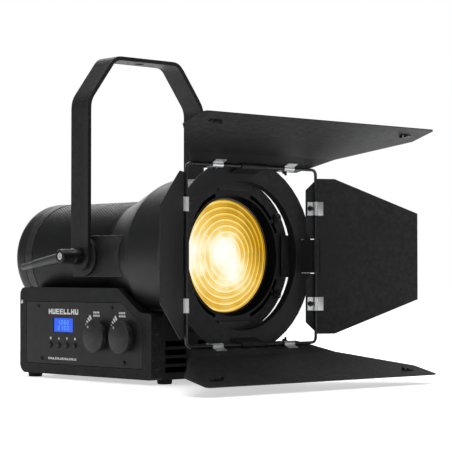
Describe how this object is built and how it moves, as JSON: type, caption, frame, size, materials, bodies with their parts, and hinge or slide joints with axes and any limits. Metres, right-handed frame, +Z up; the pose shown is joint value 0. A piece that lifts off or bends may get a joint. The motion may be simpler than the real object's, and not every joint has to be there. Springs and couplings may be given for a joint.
{
  "type": "fresnel spotlight",
  "caption": "Theatre Fresnel spotlight with four-leaf barn doors, a bent yoke with clamp lever, and a control box with knobs and display under the barrel.",
  "frame": {"origin": "on the floor plane under the middle of the object; the optical axis lies 6 mm to the -X side of it, because the side leaves stand open unequally", "axes": "+Z up, the lens and barn doors face -Y, +Y is the rear, the control panel is on the -X side"},
  "size_m": [0.4707, 0.5557, 0.4377],
  "materials": {
    "doors_paint": "satin powder coat",
    "housing_paint": "satin powder coat",
    "cover_paint": "matte powder coat",
    "zinc": "zinc plated",
    "steel": "ground",
    "lens_glass": "pressed glass, lit warm",
    "black_plastic": "moulded",
    "display": "backlit blue",
    "circuit_board": "solder mask",
    "rubber": "moulded",
    "alloy": "extruded",
    "led_phosphor": "phosphor"
  },
  "bodies": {
    "housing": {"accessory_bracket_bottom": "housing_paint", "accessory_bracket_left": "housing_paint", "accessory_bracket_right": "housing_paint", "accessory_bracket_top": "housing_paint", "barrel_shell": "housing_paint", "base_chassis": "housing_paint", "base_saddle": "housing_paint", "control_board": "circuit_board", "control_panel": "cover_paint", "data_in": "black_plastic", "data_out": "black_plastic", "foot_front_left": "rubber", "foot_front_right": "rubber", "foot_rear_left": "rubber", "foot_rear_right": "rubber", "fresnel_lens": "lens_glass", "guide_rod": "steel", "lcd_screen": "display", "lens_bezel": "housing_paint", "nose_ring": "housing_paint", "pivot_block_left": "housing_paint", "pivot_block_right": "housing_paint", "power_inlet": "black_plastic", "power_supply": "alloy", "rear_cap": "housing_paint", "rear_shell": "housing_paint", "side_cover_left": "cover_paint", "side_cover_right": "cover_paint", "tilt_bolt": "zinc", "tilt_stud": "zinc"},
    "yoke": {"yoke": "housing_paint"},
    "clamp_lever": {"clamp_lever": "black_plastic"},
    "barndoor": {"wire_frame": "doors_paint", "ring_plate": "doors_paint"},
    "leaf_top": {"leaf_top": "doors_paint", "clip_top_a": "zinc", "clip_top_b": "zinc"},
    "leaf_right": {"leaf_right": "doors_paint", "clip_right_a": "zinc", "clip_right_b": "zinc"},
    "leaf_bottom": {"leaf_bottom": "doors_paint", "clip_bottom_a": "zinc", "clip_bottom_b": "zinc"},
    "leaf_left": {"leaf_left": "doors_paint", "clip_left_a": "zinc", "clip_left_b": "zinc"},
    "catch_top_a": {"catch_top_a": "doors_paint"},
    "catch_top_b": {"catch_top_b": "doors_paint"},
    "catch_bottom_a": {"catch_bottom_a": "doors_paint"},
    "catch_bottom_b": {"catch_bottom_b": "doors_paint"},
    "zoom_knob": {"zoom_knob": "black_plastic"},
    "dimmer_knob": {"dimmer_knob": "black_plastic"},
    "button_1": {"button_1": "black_plastic"},
    "button_2": {"button_2": "black_plastic"},
    "button_3": {"button_3": "black_plastic"},
    "button_4": {"button_4": "black_plastic"},
    "zoom_screw": {"zoom_screw": "steel"},
    "fan_rotor": {"fan_rotor": "black_plastic"},
    "carriage": {"led_carriage": "alloy", "led_module": "led_phosphor"}
  },
  "joints": [
    {"name": "yoke_tilt", "type": "hinge", "parent": "housing", "child": "yoke", "pos_m": [-0.006, 0.087, 0.166], "axis": [1, 0, 0], "range_deg": [-90, 45]},
    {"name": "clamp_turn", "type": "hinge", "parent": "housing", "child": "clamp_lever", "pos_m": [-0.124, 0.087, 0.166], "axis": [1, 0, 0], "range_deg": [-90, 90]},
    {"name": "barndoor_turn", "type": "hinge", "parent": "housing", "child": "barndoor", "pos_m": [-0.006, -0.142, 0.166], "axis": [0, 1, 0], "continuous": true},
    {"name": "leaf_top_hinge", "type": "hinge", "parent": "barndoor", "child": "leaf_top", "pos_m": [-0.006, -0.142, 0.28], "axis": [-1, 0, 0], "range_deg": [-70, 48]},
    {"name": "leaf_bottom_hinge", "type": "hinge", "parent": "barndoor", "child": "leaf_bottom", "pos_m": [-0.006, -0.142, 0.052], "axis": [1, 0, 0], "range_deg": [-65.5, 52]},
    {"name": "leaf_left_hinge", "type": "hinge", "parent": "barndoor", "child": "leaf_left", "pos_m": [-0.12, -0.142, 0.166], "axis": [0, 0, 1], "range_deg": [-32.7, 102.3]},
    {"name": "leaf_right_hinge", "type": "hinge", "parent": "barndoor", "child": "leaf_right", "pos_m": [0.108, -0.142, 0.166], "axis": [0, 0, -1], "range_deg": [-24.2, 110.8]},
    {"name": "catch_top_a_swivel", "type": "hinge", "parent": "leaf_top", "child": "catch_top_a", "pos_m": [-0.1735, -0.25379, 0.32143], "axis": [0, 0.3107, 0.9505], "range_deg": [0, 90]},
    {"name": "catch_top_b_swivel", "type": "hinge", "parent": "leaf_top", "child": "catch_top_b", "pos_m": [0.1615, -0.25379, 0.32143], "axis": [0, 0.3107, 0.9505], "range_deg": [-90, 0]},
    {"name": "catch_bottom_a_swivel", "type": "hinge", "parent": "leaf_bottom", "child": "catch_bottom_a", "pos_m": [0.1615, -0.25664, 0.01927], "axis": [0, 0.2368, -0.9715], "range_deg": [0, 90]},
    {"name": "catch_bottom_b_swivel", "type": "hinge", "parent": "leaf_bottom", "child": "catch_bottom_b", "pos_m": [-0.1735, -0.25664, 0.01927], "axis": [0, 0.2368, -0.9715], "range_deg": [-90, 0]},
    {"name": "zoom_knob_turn", "type": "hinge", "parent": "housing", "child": "zoom_knob", "pos_m": [-0.111, 0.0485, 0.06], "axis": [-1, 0, 0], "range_deg": [0, 270]},
    {"name": "dimmer_knob_turn", "type": "hinge", "parent": "housing", "child": "dimmer_knob", "pos_m": [-0.111, -0.0055, 0.06], "axis": [-1, 0, 0], "range_deg": [0, 270]},
    {"name": "button_1_press", "type": "slide", "parent": "housing", "child": "button_1", "axis": [1, 0, 0], "range_m": [0, 0.0012], "stiffness_N_per_m": 300},
    {"name": "button_2_press", "type": "slide", "parent": "housing", "child": "button_2", "axis": [1, 0, 0], "range_m": [0, 0.0012], "stiffness_N_per_m": 300},
    {"name": "button_3_press", "type": "slide", "parent": "housing", "child": "button_3", "axis": [1, 0, 0], "range_m": [0, 0.0012], "stiffness_N_per_m": 300},
    {"name": "button_4_press", "type": "slide", "parent": "housing", "child": "button_4", "axis": [1, 0, 0], "range_m": [0, 0.0012], "stiffness_N_per_m": 300},
    {"name": "carriage_slide", "type": "slide", "parent": "housing", "child": "carriage", "axis": [0, 1, 0], "range_m": [-0.05, 0.06]},
    {"name": "zoom_screw_turn", "type": "hinge", "parent": "housing", "child": "zoom_screw", "pos_m": [-0.06, 0.058, 0.166], "axis": [0, 1, 0], "range_deg": [-2300, 2750]},
    {"name": "fan_spin", "type": "hinge", "parent": "housing", "child": "fan_rotor", "pos_m": [-0.006, 0.264, 0.166], "axis": [0, 1, 0], "continuous": true}
  ],
  "couplings": [
    {"joint": "zoom_screw_turn", "follows": "carriage_slide", "rad_per_m": 785.4}
  ]
}
